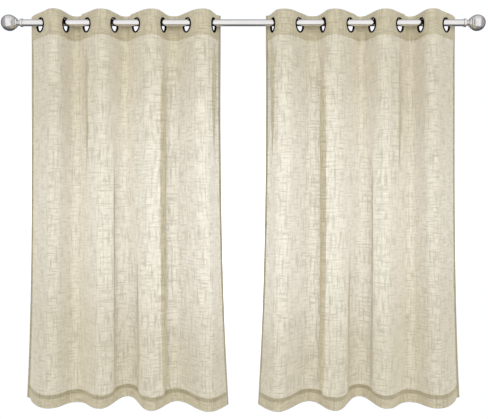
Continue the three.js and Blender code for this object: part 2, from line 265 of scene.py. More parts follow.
def colour(name, description, default, most=1):
    """A linear colour."""
    return FloatVectorProperty(
        name=name, description=description, default=default, min=0, max=most, subtype="COLOR",
    )


class ClothSettings(bpy.types.PropertyGroup):
    """Sizes and colours of the two cloth panels."""

    width: length("Finished width", "One panel laid flat, side hem to side hem", 1.321)
    drop: length("Drop", "Top edge to hem", 1.600)
    top: length("Top edge", "Height of the top edge above the rod's axis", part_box("left_heading")[1].z)
    heading: length("Heading", "Cloth folded over behind the eyelets", 0.102)
    heading_turn: length("Heading turning", "Raw edge tucked under the heading", 0.020)
    hem: length("Hem", "Cloth turned up at the bottom", 0.052)
    hem_turn: length("Hem turning", "Raw edge tucked into the hem", 0.016)
    side_hem: length("Side hem", "Cloth turned in at the sides", 0.010)
    side_turn: length("Side turning", "Raw edge tucked into a side hem", 0.009)
    outer_margin: length("Outer margin", "Outer edge to the first eyelet's middle", 0.095)
    inner_margin: length("Inner margin", "Last eyelet's middle to the inner edge", 0.062)
    layer: length("Layer", "Gap between two layers of folded cloth", 0.0003)
    face_out: length("Face", "The front of the cloth ahead of the middle of its stack", 0.0010)
    hole: length("Hole radius", "Cut for an eyelet, hidden under its rim", 0.0275)
    slub_width: length("Slub width", "Width of the thick, uneven threads", 0.0060)
    slub_length: length("Slub length", "Length of the thick stretches of a thread", 0.058)
    thread_pitch: length("Thread pitch", "From one plain thread to the next", 0.0011)
    thread: colour("Thread", "Colour of the plain threads", (0.702, 0.638, 0.462))
    slub: colour("Slub", "Colour of the thick, uneven threads", (0.452, 0.409, 0.290))
    sheen: colour("Sheen", "Colour of the soft light on cloth seen at a slant", (0.950, 0.850, 0.620))
    # Painted shade: this darker tint is multiplied into the cloth's colour where turned-in layers stack
    # at the sides and the top of the hem. It stands in for the light that the extra layers hold back.
    stacked_layer_shade: colour("Stacked layer shade", "Painted shade where turned-in layers stack", (0.730, 0.720, 0.680))
    cover: share("Cover", "How much the threads hide of what is behind them", 0.855)
    unevenness: share("Unevenness", "How much that differs between thick and thin threads", 0.075)
    slub_cover: share("Slub cover", "How much more a slub hides", 0.045)


class SewingSettings(bpy.types.PropertyGroup):
    """Sizes and colour of the sewing."""

    pitch: length("Stitch pitch", "From one stitch to the next", 0.0032)
    stitch: length("Stitch length", "Length of one stitch", 0.0026)
    thread: length("Thread", "Thickness of the sewing thread", 0.0005)
    inset: length("Inset", "Row of stitches to the folded edge that it holds", 0.0020)
    colour: colour("Thread colour", "Colour of the sewing thread", (0.480, 0.420, 0.280))


class EyeletSettings(bpy.types.PropertyGroup):
    """Sizes and colour of the metal eyelets."""

    inner: length("Inner radius", "Radius of the hole that the rod goes through", 0.025)
    outer: length("Outer radius", "Radius of the rim", 0.0312)
    crest: length("Crest", "Height of the rolled rim above the middle of the cloth", 0.0048)
    lean: share("Lean", "How far the crest leans to the hole", 0.30)
    colour: colour("Lacquer", "Colour of the lacquered metal", (0.006, 0.0055, 0.005))


class RodSettings(bpy.types.PropertyGroup):
    """Sizes and colour of the rod and its finials."""

    radius: length("Rod radius", "Outside of the tube", size_of("rod").z / 2)
    length: length("Rod length", "Between the finials", size_of("rod").x)
    softening: length("Softening", "Rounding of the metal's edges", 0.0010)
    ring: length("Ring radius", "Ring against the rod", 0.017)
    ring_end: length("Ring length", "Length of that ring", 0.009)
    neck: length("Neck radius", "Stem of the finial", 0.0095)
    bead: length("Bead radius", "Bead on the stem", 0.0125)
    bead_out: length("Bead place", "Middle of the bead beyond the rod's end", 0.0155)
    bead_half: length("Bead half length", "Half the length of the bead", 0.0028)
    collar: length("Collar radius", "Step between the stem and the cup", 0.018)
    collar_start: length("Collar start", "Start of that step beyond the rod's end", 0.023)
    cup: length("Cup radius", "Cup that holds the ball", 0.0245)
    cup_start: length("Cup start", "Start of the cup beyond the rod's end", 0.030)
    cup_end: length("Cup end", "Mouth of the cup beyond the rod's end", 0.0385)
    ball: length("Ball radius", "Radius of the ball", size_of("left_finial").z / 2)
    ball_out: length("Ball place", "Middle of the ball beyond the rod's end", 0.0555)
    metal: colour("Metal", "Colour of the satin metal", (0.930, 0.910, 0.905))


class StageSettings(bpy.types.PropertyGroup):
    """Camera, light and floor."""

    eye_x: length("Eye across", "Camera's place along the rod", 0.003)
    eye_back: length("Eye distance", "Camera in front of the rod", 2.920)
    eye_drop: length("Eye drop", "Camera below the rod", 0.761)
    lens: amount("Lens", "Focal length in millimetres", 52.85)
    floor_drop: length("Floor", "Floor below the rod", 2.050)
    floor_radius: length("Floor radius", "Pale round floor", 1.400)
    floor_tone: colour("Floor colour", "Colour of the pale floor", (0.800, 0.790, 0.770))
    sky: amount("Surround", "Brightness of the white surround", 0.56)
    glow: amount("Glow", "Brightness of the middle of the backdrop", 2.25)
    backdrop: colour("Backdrop", "Tint of a backdrop that shows as plain white", (1.0, 1.03, 1.12), 2)
    key: amount("Key light", "Power of the soft light", 135.0, unit="POWER")
    key_size: length("Key size", "Width of the soft light", 3.000)
    key_back: length("Key distance", "Soft light in front of the rod", 4.600)
    key_drop: length("Key drop", "Soft light below the rod", 0.200)
    key_tilt: amount("Key tilt", "Soft light up from straight down", math.radians(84), subtype="ANGLE")
    seed: IntProperty(name="Seed", description="Seed for the unevenness of the stitches", default=7)


# How the cloth hangs

def mix(a, b, t):
    """From a at 0 to b at 1."""
    return a + (b - a) * t


def ease(t):
    """From 0 to 1 with a level start and end."""
    return (1 - np.cos(np.pi * np.clip(t, 0, 1))) / 2


def fade(v, top, bottom, soft):
    """1 between top and bottom, easing to 0 over a stretch at each end."""
    return ease((v - top) / soft) * ease((bottom - v) / soft)


class HungCloth:
    """The left panel's hanging face: u along the cloth from its outer edge, v down from its top edge."""

    def __init__(self, cloth):
        self.cloth = cloth
        self.pitch = (cloth.width - cloth.outer_margin - cloth.inner_margin) / (EYELET_COUNT - 1)
        self.eyelets_at = cloth.outer_margin + self.pitch * np.arange(EYELET_COUNT)
        self.eyelets = [middle_of(f"left_eyelet_{i + 1}") for i in range(EYELET_COUNT)]
        self.eyelet_v = cloth.top - self.eyelets[0].z
        signs = np.where(np.arange(EYELET_COUNT) % 2 == 0, -1, 1)
        self.turns = np.radians(EYELET_TURNS) * signs
        self.hem_at = np.concatenate([[0], self.eyelets_at[:-1] + self.pitch / 2, [cloth.width]])
        self.trace_heading()

    def edge_turns(self, start, edge_turn, margin, steps):
        """The cloth's direction from an end eyelet out to the panel's edge, at shares of the way."""
        end = np.sign(start) * math.radians(edge_turn)
        return mix(start, end, ease((steps * margin - EYELET_FLAT) / (margin - EYELET_FLAT)))

    def fold_turns(self, start, end, fullness, skew, s):
        """The cloth's direction along the fold between two eyelets, s from the first one."""
        t = np.clip((s - EYELET_FLAT) / (self.pitch - 2 * EYELET_FLAT), 0, 1)
        swell = fullness * np.sign(start) * np.sin(2 * np.pi * t)
        return mix(start, end, ease(t)) + swell + skew * np.sin(np.pi * t)

    def fitted_fold(self, index, s):
        """The direction along a fold whose fixed length of cloth ends at the next eyelet."""
        start, end = self.turns[index : index + 2]
        span = self.eyelets[index + 1].x - self.eyelets[index].x
        nudge = 1e-4

        def miss(fit):
            turns = self.fold_turns(start, end, *fit, s)
            reached = np.array([np.cos(turns).mean(), np.sin(turns).mean()]) * self.pitch
            return reached - (span, 0)

        fit = np.zeros(2)
        for _ in range(FIT_ROUNDS):
            here = miss(fit)
            slopes = np.column_stack([(miss(fit + step) - here) / nudge for step in np.eye(2) * nudge])
            fit = fit - np.linalg.solve(slopes, here)
        return self.fold_turns(start, end, *fit, s)

    def trace_heading(self):
        """Follows the heading's cloth along the rod, seen from above."""
        cloth = self.cloth
        steps = (np.arange(TRACE_STEPS) + 0.5) / TRACE_STEPS
        outer = self.edge_turns(self.turns[0], OUTER_EDGE_TURN, cloth.outer_margin, steps)[::-1]
        folds = [self.fitted_fold(index, steps * self.pitch) for index in range(EYELET_COUNT - 1)]
        inner = self.edge_turns(self.turns[-1], INNER_EDGE_TURN, cloth.inner_margin, steps)
        turns = np.concatenate([outer, *folds, inner])
        spans = [cloth.outer_margin, *[self.pitch] * (EYELET_COUNT - 1), cloth.inner_margin]
        step = np.repeat(spans, TRACE_STEPS) / TRACE_STEPS
        along = np.concatenate([[0], np.cumsum(step)])
        x = np.concatenate([[0], np.cumsum(np.cos(turns) * step)])
        y = np.concatenate([[0], np.cumsum(np.sin(turns) * step)])
        self.heading_u = along
        self.heading_x = x - x[TRACE_STEPS] + self.eyelets[0].x
        self.heading_y = y - y[TRACE_STEPS]

    def hem(self, u):
        """Where the hem is, seen from above, and how far it rides above level."""
        u = np.clip(u, 0, self.cloth.width)
        last = len(HEM_FOLDS) - 2
        start = np.clip(np.searchsorted(self.hem_at, u) - 1, 0, last)
        t = (u - self.hem_at[start]) / (self.hem_at[start + 1] - self.hem_at[start])
        x, y, lift, flank = (np.array(column) for column in zip(*HEM_FOLDS))
        across = t + flank[start] * np.sin(2 * np.pi * t) / (2 * np.pi)
        turned = ease(t)
        turned = np.where(start == 0, np.sin(np.pi * t / 2), turned)
        turned = np.where(start == last, 1 - np.cos(np.pi * t / 2), turned)
        return (
            mix(x[start], x[start + 1], across),
            mix(y[start], y[start + 1], turned),
            mix(lift[start], lift[start + 1], turned),
        )

    def tucked(self, u, v):
        """How far the cloth doubles back along the rod at the sides of its steep folds."""
        back = np.zeros(np.shape(u))
        for tuck in TUCKS:
            from_middle = (u - self.eyelets_at[tuck.eyelet]) / tuck.spread
            shape = from_middle * np.exp((1 - from_middle**2) / 2)
            closed = ease((v - tuck.top) / tuck.closes) * ease((tuck.bottom - v) / tuck.opens)
            back -= tuck.reach * shape * closed
        return back

    def middle(self, u, v):
        """The middle of the hanging cloth. Its folds keep the heading's shape and open lower down."""
        cloth = self.cloth
        down = np.clip((v - cloth.heading) / (cloth.drop - cloth.heading), 0, 1)
        opened = down**FOLD_OPENING
        delay = np.where(u < cloth.width / 2, OUTER_EDGE_DELAY, INNER_EDGE_DELAY)
        delay = delay * (1 - ease(np.minimum(u, cloth.width - u) / EDGE_REACH))
        hem_x, hem_y, lift = self.hem(u)
        x = mix(np.interp(u, self.heading_u, self.heading_x), hem_x, down ** (FOLD_OPENING + delay))
        y = mix(np.interp(u, self.heading_u, self.heading_y), hem_y, opened)
        below = ease((v - ROLL_TOP) / cloth.heading)
        roll = np.maximum(1 - u / ROLL_WIDTH, 0) ** ROLL_CURVE * below
        pull = (1 - ease(u / ROLL_PULL_WIDTH)) * below
        x = x + ROLL_PULL * pull - ROLL_OUT * roll + self.tucked(u, v)
        return np.stack([x, y - ROLL_FRONT * roll, cloth.top - v + lift * opened], axis=-1)

    def creased(self, u, v):
        """How far creases and puckers push the cloth towards the front."""
        cloth = self.cloth
        out = np.zeros(np.shape(u))
        for crease in CREASES:
            middle = crease.along + crease.drift * (v - (crease.top + crease.bottom) / 2)
            soft = CREASE_FADE * (crease.bottom - crease.top)
            across = np.exp(-(((u - middle) / crease.width) ** 2))
            out += crease.height * across * fade(v, crease.top, crease.bottom, soft)
        hem_top = cloth.drop - PUCKER_ABOVE_HEM
        for puckers, top, bottom in (
            (HEM_PUCKERS, hem_top, cloth.drop + cloth.hem),
            (HEADING_PUCKERS, *HEADING_PUCKER_SPAN),
        ):
            down = fade(v, top, bottom, PUCKER_FADE * (bottom - top))
            for pucker in puckers:
                out += pucker.height * down * np.exp(-(((u - pucker.along) / pucker.width) ** 2))
        nearest = np.min([np.hypot(u - at, v - self.eyelet_v) for at in self.eyelets_at], axis=0)
        return out * ease((nearest - EYELET_FLAT) / EYELET_FLAT)

    def surface(self, u, v, behind):
        """The cloth's face at u and v, or a layer that far behind it."""
        reach = 0.0015
        here = self.middle(u, v)
        along = (self.middle(u + reach, v) - self.middle(u - reach, v))[..., :2]
        along /= np.linalg.norm(along, axis=-1, keepdims=True)
        out = self.cloth.face_out + self.creased(u, v) - behind
        here[..., 0] += along[..., 1] * out
        here[..., 1] -= along[..., 0] * out
        return here


# The cut cloth, walked over its folded edges

Stretch = namedtuple("Stretch", "places layer side")
Stations = namedtuple("Stations", "place layer side cut")


def lay_out(stretches):
    """Stations along the cut cloth: place on the hung face, layer behind it, side out, and distance."""
    rows, cut = [], 0.0
    for index, stretch in enumerate(stretches):
        for number, place in enumerate(stretch.places):
            cut += abs(place - stretch.places[number - 1]) if number else 0
            rows.append((place, stretch.layer, stretch.side, cut))
        if index + 1 == len(stretches):
            break
        after = stretches[index + 1]
        radius = abs(after.layer - stretch.layer) / 2
        onwards = np.sign(stretch.places[-1] - stretch.places[-2])
        step = math.pi / (ROUND_STEPS + 1)
        for number in range(1, ROUND_STEPS + 1):
            cut += radius * step
            turned = (1 - math.cos(number * step)) / 2
            place = stretch.places[-1] + onwards * radius * math.sin(number * step)
            layer = mix(stretch.layer, after.layer, turned)
            rows.append((place, layer, mix(stretch.side, after.side, turned), cut))
        cut += radius * step
    return Stations(*np.array(rows).T)


def rows_of(cloth):
    """The cut cloth from its top raw edge to its bottom one."""
    inner, outer = INNER_LAYER * cloth.layer, OUTER_LAYER * cloth.layer
    raw_edge = cloth.heading - cloth.heading_turn
    hem_top = cloth.drop - cloth.hem
    upper, lower = HEADING_ROWS_END * cloth.heading, hem_top - HEM_ROWS_ABOVE
    face = np.concatenate([
        np.linspace(0, upper, HEADING_ROWS + 1),
        np.linspace(upper, lower, BODY_ROWS + 1)[1:],
        np.linspace(lower, cloth.drop, HEM_ROWS + 1)[1:],
    ])
    return lay_out([
        Stretch(np.linspace(raw_edge, cloth.heading, TURN_STEPS + 1), inner, 1),
        Stretch(np.linspace(cloth.heading, 0, HEADING_ROWS + 1), outer, -1),
        Stretch(face, 0, 1),
        Stretch(np.linspace(cloth.drop, hem_top, HEM_BACK_ROWS + 1), outer, -1),
        Stretch(np.linspace(hem_top, hem_top + cloth.hem_turn, TURN_STEPS + 1), inner, 1),
    ])


def columns_of(cloth):
    """The cut cloth from its outer raw edge to its inner one."""
    hem = np.linspace(cloth.side_hem, 0, SIDE_HEM_STEPS + 1)
    turning = np.linspace(cloth.side_hem - cloth.side_turn, cloth.side_hem, TURN_STEPS + 1)
    return lay_out([
        Stretch(turning, cloth.layer, 1),
        Stretch(hem, SIDE_LAYER * cloth.layer, -1),
        Stretch(np.linspace(0, cloth.width, FACE_COLUMNS + 1), 0, 1),
        Stretch(cloth.width - hem[::-1], SIDE_LAYER * cloth.layer, -1),
        Stretch(cloth.width - turning[::-1], cloth.layer, 1),
    ])


def panel_mesh(hung):
    """Points, four-sided faces, places on the cut cloth and places on the hung face of the left panel."""
    cloth = hung.cloth
    rows, columns = rows_of(cloth), columns_of(cloth)
    v, u = np.meshgrid(rows.place, columns.place, indexing="ij")
    behind = rows.layer[:, None] + rows.side[:, None] * columns.layer[None, :]
    q, p = np.meshgrid(rows.cut, columns.cut, indexing="ij")
    open_faces = np.zeros((len(rows.place) - 1, len(columns.place) - 1), bool)
    face_u = (u[:-1, :-1] + u[1:, 1:]) / 2
    face_v = (v[:-1, :-1] + v[1:, 1:]) / 2
    for at in hung.eyelets_at:
        open_faces |= np.hypot(face_u - at, face_v - hung.eyelet_v) < cloth.hole
        away = np.maximum(np.hypot(u - at, v - hung.eyelet_v), 1e-9)
        grown = np.maximum(cloth.hole / away, 1)
        u, v = at + (u - at) * grown, hung.eyelet_v + (v - hung.eyelet_v) * grown
    points = hung.surface(u, v, behind).reshape(-1, 3)
    number = np.arange(len(points)).reshape(u.shape)
    corners = np.stack([number[:-1, :-1], number[1:, :-1], number[1:, 1:], number[:-1, 1:]], axis=-1)
    used, faces = np.unique(corners[~open_faces], return_inverse=True)
    maps = [np.stack(pair, axis=-1).reshape(-1, 2)[used] for pair in ((p, q), (u, v))]
    return points[used], faces.reshape(-1, 4), *maps


# Blender helpers

FLOAT, VECTOR, GEOMETRY = "NodeSocketFloat", "NodeSocketVector", "NodeSocketGeometry"


def add_object(name, points, faces, edges=()):
    """A new smooth mesh object at the origin."""
    mesh = bpy.data.meshes.new(name)
    corners = [tuple(face) for face in faces]
    mesh.from_pydata([tuple(point) for point in points], list(edges), corners)
    mesh.polygons.foreach_set("use_smooth", [True] * len(mesh.polygons))
    mesh.update()
    made = bpy.data.objects.new(name, mesh)
    bpy.context.scene.collection.objects.link(made)
    return made


def add_map(mesh, name, places):
    """A UV map from each point's place on the cut cloth."""
    corners = np.empty(len(mesh.loops), np.int32)
    mesh.loops.foreach_get("vertex_index", corners)
    layer = mesh.uv_layers.new(name=name)
    layer.data.foreach_set("uv", places[corners].astype(np.float32).ravel())


def on_side(side, drawn, points, faces):
    """A shape on the side that it is drawn for, or mirrored, with its faces still pointing out."""
    if side == drawn:
        return points, faces
    return points * MIRROR, [face[::-1] for face in faces]


def turned(profile, around):
    """Points and faces of a shape turned round the X axis. Its (x, radius) rows end on the axis."""
    rings = np.array(profile[1:-1])
    angles = 2 * np.pi * np.arange(around) / around
    round_points = np.stack([
        np.repeat(rings[:, 0], around),
        np.outer(rings[:, 1], np.cos(angles)).ravel(),
        np.outer(rings[:, 1], np.sin(angles)).ravel(),
    ], axis=-1)
    points = np.vstack([(profile[0][0], 0, 0), round_points, (profile[-1][0], 0, 0)])
    pairs = list(zip(1 + np.arange(around), 1 + (np.arange(around) + 1) % around))
    faces = [(0, b, a) for a, b in pairs]
    last, end = (len(rings) - 1) * around, len(points) - 1
    for step in range(0, last, around):
        faces += [(a + step, b + step, b + step + around, a + step + around) for a, b in pairs]
    return points, faces + [(a + last, b + last, end) for a, b in pairs]


def arc(x, radius, size, start, end, steps=8):
    """(x, radius) rows round a centre, from one angle to another, in degrees from +X."""
    angles = np.radians(np.linspace(start, end, steps + 1))
    return [(x + size * math.cos(angle), radius + size * math.sin(angle)) for angle in angles]


def feed(tree, target, inputs):
    """Gives a node its inputs: one that is given as a socket is linked, and any other one is set."""
    for name, given in inputs.items():
        if isinstance(given, bpy.types.NodeSocket):
            tree.links.new(given, target.inputs[name])
        else:
            target.inputs[name].default_value = given


def node(tree, kind, inputs=None, **settings):
    """Adds a node with its settings and inputs."""
    made = tree.nodes.new(kind)
    for name, setting in settings.items():
        setattr(made, name, setting)
    feed(tree, made, inputs or {})
    return made


def first(tree, kind, inputs=None, **settings):
    """The first output of a new node."""
    return node(tree, kind, inputs, **settings).outputs[0]


def sums(tree, operation, *values):
    """The result of a Math node."""
    return first(tree, "ShaderNodeMath", dict(enumerate(values)), operation=operation)


def ranged(tree, value, low, high, start=0.0, end=1.0, how="LINEAR"):
    """A value moved from one range to another."""
    return first(tree, "ShaderNodeMapRange", {
        "Value": value, "From Min": low, "From Max": high, "To Min": start, "To Max": end,
    }, interpolation_type=how)


def noise(tree, place, scale, detail, roughness=0.5, dimensions="3D"):
    """Soft noise over a place."""
    return first(tree, "ShaderNodeTexNoise", {
        "Vector": place, "Scale": scale, "Detail": detail, "Roughness": roughness,
    }, noise_dimensions=dimensions)


def bumped(tree, height, strength, depth):
    """The surface's direction where a height raises it."""
    return first(tree, "ShaderNodeBump", {"Strength": strength, "Distance": depth, "Height": height})


def blended(tree, factor, start, end):
    """A colour between two, the first where the factor is 0 and the second where it is 1."""
    colours = {0: factor, 6: (*start, 1), 7: (*end, 1)}
    return node(tree, "ShaderNodeMix", colours, data_type="RGBA").outputs[2]


def shaded(tree, factor, light, shade):
    """A colour that goes over to a darker or paler share of itself where the factor is 1."""
    return blended(tree, factor, light, [shade * channel for channel in light])


def object_place(tree):
    """Places on the object."""
    return node(tree, "ShaderNodeTexCoord").outputs["Object"]


def new_group(name, kind, inputs, outputs):
    """An empty node group with its named sockets, what it is given, and its output node."""
    tree = bpy.data.node_groups.new(name, kind)
    for way, sockets in (("INPUT", inputs), ("OUTPUT", outputs)):
        for socket, socket_type in sockets.items():
            tree.interface.new_socket(name=socket, in_out=way, socket_type=socket_type)
    return tree, tree.nodes.new("NodeGroupInput").outputs, tree.nodes.new("NodeGroupOutput")


def new_material(name):
    """A node material, its tree and its Principled shader."""
    material = bpy.data.materials.new(name)
    material.use_nodes = True
    return material, material.node_tree, material.node_tree.nodes["Principled BSDF"]


def grow(base, tree, inputs):
    """Runs a node tree on an object once and keeps what it makes as the object's plain mesh."""
    modifier = base.modifiers.new(tree.name, "NODES")
    modifier.node_group = tree
    for item in tree.interface.items_tree:
        if item.item_type == "SOCKET" and item.in_out == "INPUT" and item.name in inputs:
            modifier[item.identifier] = inputs[item.name]
    depsgraph = bpy.context.evaluated_depsgraph_get()
    mesh = bpy.data.meshes.new_from_object(base.evaluated_get(depsgraph), depsgraph=depsgraph)
    base.modifiers.remove(modifier)
    base.data = mesh
    if not mesh.polygons:
        raise RuntimeError(f"{tree.name} made nothing for {base.name}")
    mesh.polygons.foreach_set("use_smooth", [True] * len(mesh.polygons))


def belongs(piece, slot, *nodes):
    """The piece stands for these nodes, which it hides, and hangs from the body. The slot is not used."""
    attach(piece, BODY)
    if nodes:
        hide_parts(*nodes)


# Shared effects

def slub_weave(tree, given):
    """Slubby plain weave over cloth laid out in metres: slubs, closeness of the threads, height."""
    place = node(tree, "ShaderNodeSeparateXYZ", {0: given["Cloth"]}).outputs
    across = sums(tree, "DIVIDE", 1.0, given["Slub width"])
    along = sums(tree, "DIVIDE", 1.0, given["Slub length"])

    def streaks(x_scale, y_scale):
        """Uneven streaks, longer one way than the other."""
        stretched = first(tree, "ShaderNodeCombineXYZ", {
            0: sums(tree, "MULTIPLY", place[0], x_scale),
            1: sums(tree, "MULTIPLY", place[1], y_scale),
        })
        return noise(tree, stretched, 1.0, STREAK_DETAIL, dimensions="2D")

    warp = streaks(*[sums(tree, "MULTIPLY", scale, WARP_SCALE) for scale in (across, along)])
    weft = streaks(along, across)
    fine_across = sums(tree, "MULTIPLY", across, FINE_ACROSS)
    fine_along = sums(tree, "MULTIPLY", along, FINE_ALONG)
    fine_warp, fine_weft = streaks(fine_across, fine_along), streaks(fine_along, fine_across)
    thick = sums(tree, "MULTIPLY", sums(tree, "MAXIMUM", warp, weft), 1 - FINE_SLUBS)
    fine_thick = sums(tree, "MAXIMUM", fine_warp, fine_weft)
    thick = sums(tree, "MULTIPLY_ADD", fine_thick, FINE_SLUBS, thick)
    slubs = ranged(tree, thick, *SLUB_RANGE, how="SMOOTHSTEP")
    wide = sums(tree, "MULTIPLY", weft, 2 - WARP_SHARE)
    wide = sums(tree, "MULTIPLY_ADD", warp, WARP_SHARE, wide)
    both = sums(tree, "ADD", wide, sums(tree, "ADD", fine_warp, fine_weft))
    turns = sums(tree, "DIVIDE", math.pi, given["Thread"])
    waves = [sums(tree, "SINE", sums(tree, "MULTIPLY", way, turns)) for way in place[:2]]
    weave = sums(tree, "MULTIPLY", *[sums(tree, "ABSOLUTE", wave) for wave in waves])
    return {
        "Slub": slubs,
        "Closeness": sums(tree, "MULTIPLY_ADD", both, 0.5, -1.0),
        "Height": sums(tree, "MULTIPLY_ADD", slubs, SLUB_HEIGHT, weave),
    }


def stacked_layer_mask(tree, given):
    """Where a raw edge is turned in and layers stack, over cloth as it hangs: the sides and the top of
    the hem. The mask for the painted shade there.
    """
    place = node(tree, "ShaderNodeSeparateXYZ", {0: given["Hung"]}).outputs

    def within(value, size):
        """1 from 0 up to a size, with soft ends."""
        left = sums(tree, "SUBTRACT", size, value)
        ends = [ranged(tree, end, -LAYER_MASK_SOFT, LAYER_MASK_SOFT) for end in (value, left)]
        return sums(tree, "MULTIPLY", *ends)

    other_side = sums(tree, "SUBTRACT", given["Width"], place[0])
    from_side = sums(tree, "ADD", sums(tree, "MINIMUM", place[0], other_side), LAYER_MASK_MARGIN)
    sides = within(from_side, sums(tree, "ADD", given["Side hem"], LAYER_MASK_MARGIN))
    below_top = sums(tree, "SUBTRACT", place[1], given["Hem top"])
    return {"Stacked layers": sums(tree, "MAXIMUM", sides, within(below_top, given["Hem turning"]))}


def worked_metal(tree, given):
    """Fine lines and cloudy handling marks on metal: tone, roughness and height."""
    scaled = {0: given["Place"], 1: given["Lines"]}
    stretched = first(tree, "ShaderNodeVectorMath", scaled, operation="MULTIPLY")
    lines = noise(tree, stretched, 1.0, 2.0, MARK_ROUGHNESS)
    clouds = noise(tree, given["Place"], given["Cloud"], 3.0, MARK_ROUGHNESS)
    both = sums(tree, "MULTIPLY", sums(tree, "ADD", lines, clouds), 0.5)
    return {
        "Tone": ranged(tree, both, *MARK_RANGE),
        "Roughness": ranged(tree, both, *MARK_RANGE, given["Smooth"], given["Dull"]),
        "Height": lines,
    }


# What each effect is built by, what it is given and what it gives
Effect = namedtuple("Effect", "build inputs outputs")
EFFECTS = {
    "Slub weave": Effect(
        slub_weave,
        {"Cloth": VECTOR, "Slub width": FLOAT, "Slub length": FLOAT, "Thread": FLOAT},
        ("Slub", "Closeness", "Height"),
    ),
    # The mask for the painted shade where turned-in layers stack
    "Stacked layer shade": Effect(
        stacked_layer_mask,
        {"Hung": VECTOR, "Width": FLOAT, "Side hem": FLOAT, "Hem top": FLOAT, "Hem turning": FLOAT},
        ("Stacked layers",),
    ),
    "Worked metal": Effect(
        worked_metal,
        {"Place": VECTOR, "Lines": VECTOR, "Cloud": FLOAT, "Smooth": FLOAT, "Dull": FLOAT},
        ("Tone", "Roughness", "Height"),
    ),
}


def effect(tree, name, inputs):
    """Places an effect in a material with its own values. Its group is built once."""
    group = bpy.data.node_groups.get(name)
    if not group:
        kind = EFFECTS[name]
        outputs = dict.fromkeys(kind.outputs, FLOAT)
        group, given, result = new_group(name, "ShaderNodeTree", kind.inputs, outputs)
        feed(group, result, kind.build(group, given))
    return node(tree, "ShaderNodeGroup", inputs, node_tree=group).outputs


# Materials

def sheer_cloth(cloth):
    """Sheer, slubby plain weave that lets what is behind it show between its threads."""
    material, tree, shader = new_material("sheer_cloth")
    weave = effect(tree, "Slub weave", {
        "Cloth": first(tree, "ShaderNodeUVMap", uv_map="cloth"),
        "Slub width": cloth.slub_width, "Slub length": cloth.slub_length, "Thread": cloth.thread_pitch,
    })
    edges = effect(tree, "Stacked layer shade", {
        "Hung": first(tree, "ShaderNodeUVMap", uv_map="hung"),
        "Width": cloth.width, "Side hem": cloth.side_hem,
        "Hem top": cloth.drop - cloth.hem, "Hem turning": cloth.hem_turn,
    })
    woven = blended(tree, weave["Slub"], cloth.thread, cloth.slub)
    # Painted shade: the colour is darkened where turned-in layers stack. It stands in for the light that
    # they hold back.
    layer_shade_mix = {0: edges["Stacked layers"], 6: woven, 7: (*cloth.stacked_layer_shade, 1)}
    layer_shaded = node(tree, "ShaderNodeMix", layer_shade_mix, data_type="RGBA", blend_type="MULTIPLY").outputs[2]
    cover = sums(tree, "MULTIPLY_ADD", weave["Closeness"], cloth.unevenness, cloth.cover)
    cover = sums(tree, "MULTIPLY_ADD", weave["Slub"], cloth.slub_cover, cover)
    least, most = COVER_RANGE
    feed(tree, shader, {
        "Base Color": layer_shaded,
        "Alpha": sums(tree, "MAXIMUM", sums(tree, "MINIMUM", cover, most), least),
        "Normal": bumped(tree, weave["Height"], *WEAVE_BUMP),
        "Roughness": 0.9,
        "Specular IOR Level": 0.1,
        "Sheen Weight": 0.9,
        "Sheen Roughness": 0.6,
        "Sheen Tint": (*cloth.sheen, 1),
    })
    return material


def sewing_thread(sewing):
    """Twisted sewing thread a little darker than the cloth."""
    material, tree, shader = new_material("sewing_thread")
    twist = noise(tree, object_place(tree), TWIST_SCALE, 1.0)
    feed(tree, shader, {
        "Base Color": shaded(tree, twist, sewing.colour, TWIST_SHADE),
        "Normal": bumped(tree, twist, *TWIST_BUMP),
        "Roughness": 0.7,
    })
    return material


def metal(finish, light):
    """A worked metal finish in a colour."""
    material, tree, shader = new_material(finish.name)
    worked = effect(tree, "Worked metal", {
        "Place": object_place(tree), "Lines": finish.lines, "Cloud": finish.cloud,
        "Smooth": finish.smooth, "Dull": finish.dull,
    })
    feed(tree, shader, {
        "Base Color": shaded(tree, worked["Tone"], light, finish.marks),
        "Roughness": worked["Roughness"],
        "Normal": bumped(tree, worked["Height"], finish.strength, MARK_DEPTH),
        "Metallic": finish.metallic,
        "Specular IOR Level": finish.gloss,
    })
    return material


# Node trees that repeat a shape

def new_row(name, sizes, **others):
    """An empty node tree with named sizes and a material, what it is given, and its output node."""
    inputs = {"Geometry": GEOMETRY, **dict.fromkeys(sizes, FLOAT), **others}
    inputs["Material"] = "NodeSocketMaterial"
    return new_group(name, "GeometryNodeTree", inputs, {"Geometry": GEOMETRY})


def end_row(tree, given, result, row):
    """Makes the shapes in a row real and gives them their material."""
    real = first(tree, "GeometryNodeRealizeInstances", {"Geometry": row})
    finished = {"Geometry": real, "Material": given["Material"]}
    feed(tree, result, {"Geometry": first(tree, "GeometryNodeSetMaterial", finished)})
    return tree


def stitch_tree():
    """A row of stitches along every line of a mesh."""
    tree, given, result = new_row("Stitch row", ("Pitch", "Stitch", "Thread"), Seed="NodeSocketInt")
    seams = first(tree, "GeometryNodeMeshToCurve", {"Mesh": given["Geometry"]})
    spaced = {"Curve": seams, "Length": given["Pitch"]}
    spots = node(tree, "GeometryNodeCurveToPoints", spaced, mode="LENGTH").outputs
    shortest, longest = STITCH_RANGE
    drawn = {2: shortest, 3: longest, "Seed": given["Seed"]}
    uneven = node(tree, "FunctionNodeRandomValue", drawn).outputs[1]
    size = first(tree, "ShaderNodeCombineXYZ", {
        0: given["Thread"], 1: given["Thread"], 2: sums(tree, "MULTIPLY", given["Stitch"], uneven),
    })
    row = first(tree, "GeometryNodeInstanceOnPoints", {
        "Points": spots["Points"],
        "Instance": first(tree, "GeometryNodeMeshIcoSphere", {"Radius": 0.5, "Subdivisions": 1}),
        "Rotation": spots["Rotation"],
        "Scale": size,
    })
    return end_row(tree, given, result, row)


